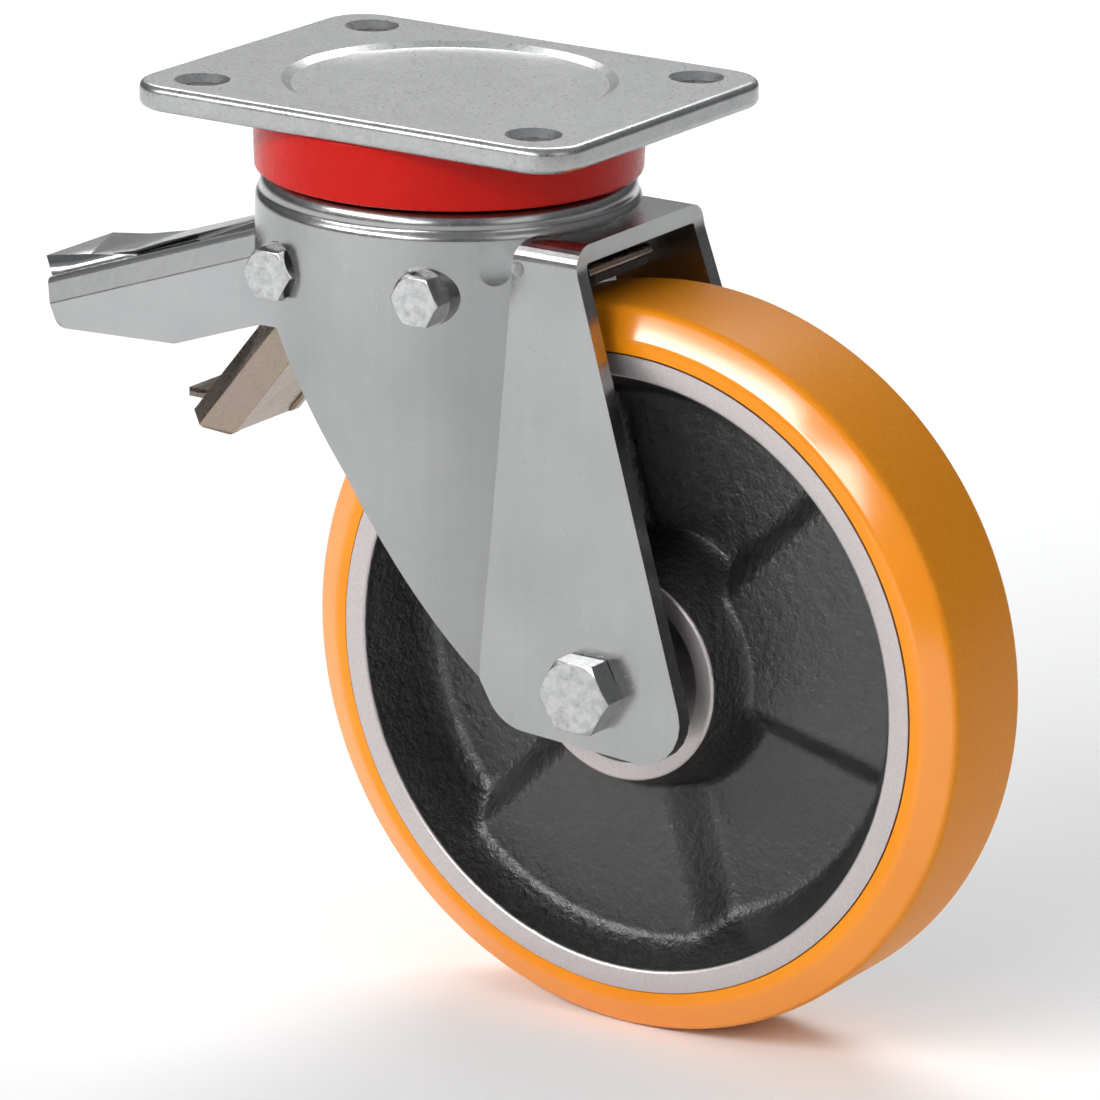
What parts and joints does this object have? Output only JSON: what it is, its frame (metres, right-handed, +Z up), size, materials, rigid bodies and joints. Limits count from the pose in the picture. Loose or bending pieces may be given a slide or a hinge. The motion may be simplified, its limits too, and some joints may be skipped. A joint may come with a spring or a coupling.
{
  "type": "swivel castor",
  "caption": "Heavy swivel castor with a bolt-on plate, red dust seal, pressed fork, orange tyre on a cast wheel, and a rear brake pedal with a release lever.",
  "frame": {"origin": "centre of the mounting plate's top face, on the swivel axis", "axes": "+Z up out of the plate, +X from the swivel axis towards the wheel, Y along the axle"},
  "size_m": [0.2933, 0.112, 0.2485],
  "materials": {
    "zinc_plate": "mottled zinc plating",
    "zinc_fork": "smooth zinc plating",
    "zinc_pedal": "smooth zinc plating",
    "zinc_bolt": "bright zinc plating",
    "steel": "plain steel",
    "red_plastic": "gloss",
    "iron": "black paint with machined faces",
    "polyurethane": "satin",
    "chromate": "yellow chromate",
    "pad_rubber": "matte"
  },
  "bodies": {
    "plate": {"top_plate": "zinc_plate", "king_pin": "steel", "king_nut": "zinc_bolt", "upper_race": "steel", "lower_race": "steel", "dust_seal": "red_plastic"},
    "fork": {"fork": "zinc_fork", "head_race": "steel", "lower_head_race": "steel", "upper_balls": "steel", "lower_balls": "steel", "axle_bolt": "zinc_bolt", "axle_nut": "zinc_bolt", "axle_tube": "steel", "axle_spacers": "steel", "distance_tube": "steel", "bearing_inner_rings": "steel", "bearing_balls": "steel", "pivot_bolts": "zinc_bolt", "pivot_nuts": "zinc_bolt", "pivot_sleeves": "steel"},
    "wheel": {"wheel_core": "iron", "tyre": "polyurethane", "bearing_outer_rings": "steel", "bearing_shields": "steel"},
    "pedal": {"brake_pedal": "zinc_pedal", "link_pin": "steel"},
    "lever": {"release_lever": "chromate", "brake_pad": "pad_rubber"}
  },
  "joints": [
    {"name": "swivel", "type": "hinge", "parent": "plate", "child": "fork", "pos_m": [0, 0, 0], "axis": [0, 0, 1], "continuous": true},
    {"name": "wheel_spin", "type": "hinge", "parent": "fork", "child": "wheel", "pos_m": [0.07, 0, -0.1485], "axis": [0, 1, 0], "continuous": true},
    {"name": "pedal_press", "type": "hinge", "parent": "fork", "child": "pedal", "pos_m": [-0.0235, 0, -0.0468], "axis": [0, 1, 0], "range_deg": [-12, 0]},
    {"name": "lever_tip", "type": "hinge", "parent": "fork", "child": "lever", "pos_m": [0.0235, 0, -0.0468], "axis": [0, 1, 0], "range_deg": [0, 6.93]}
  ],
  "couplings": [
    {"joint": "lever_tip", "follows": "pedal_press", "ratio": -0.57718}
  ]
}
